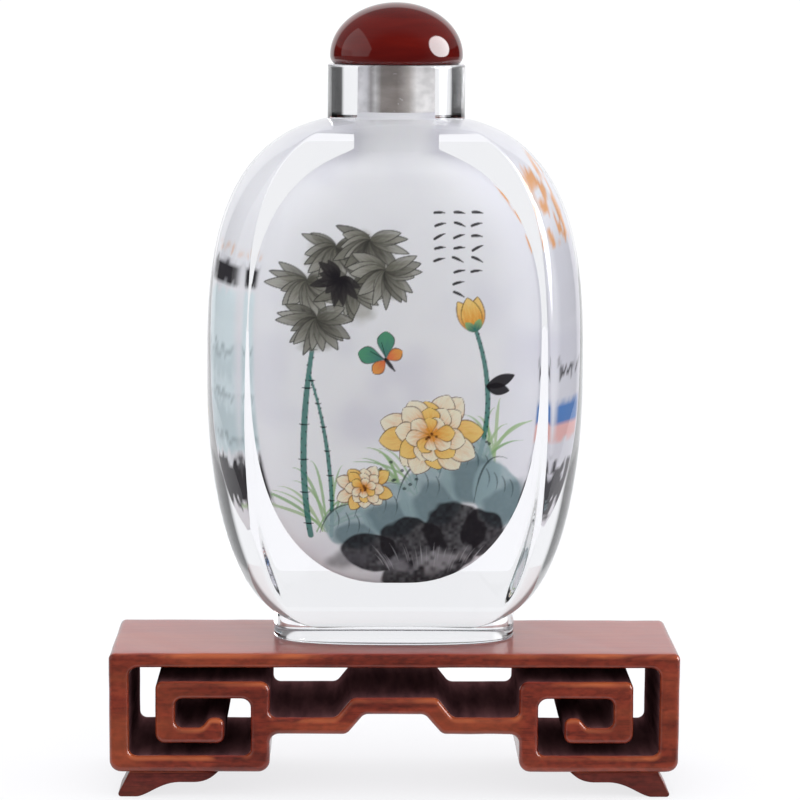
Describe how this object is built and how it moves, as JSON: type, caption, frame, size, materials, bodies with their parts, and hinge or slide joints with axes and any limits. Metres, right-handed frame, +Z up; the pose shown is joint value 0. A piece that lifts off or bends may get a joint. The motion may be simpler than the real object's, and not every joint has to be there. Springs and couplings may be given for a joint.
{
  "type": "snuff bottle on a stand",
  "caption": "Flattened clear crystal snuff bottle, frosted and painted inside, with a red domed stopper, standing on a carved hardwood stand of scroll fretwork on bracket feet",
  "frame": {"origin": "on the floor under the middle of the whole object's box", "axes": "+Z up through the bottle, X across the painted panel, -Y out of the front panel"},
  "size_m": [0.0844, 0.0274, 0.1171],
  "materials": {
    "crystal": "polished clear outside, frosted and painted on the wall of its hollow",
    "agate": "polished red agate",
    "plug": "matt grey paste",
    "stand_wood": "red hardwood, waxed to a satin shine",
    "foot_wood": "red hardwood, darker and duller"
  },
  "bodies": {
    "root": {"bottle": "crystal", "stopper_dome": "agate", "stopper_plug": "plug", "stand": "stand_wood", "stand_foot_front_left": "foot_wood", "stand_foot_front_right": "foot_wood", "stand_foot_back_left": "foot_wood", "stand_foot_back_right": "foot_wood"}
  },
  "joints": []
}
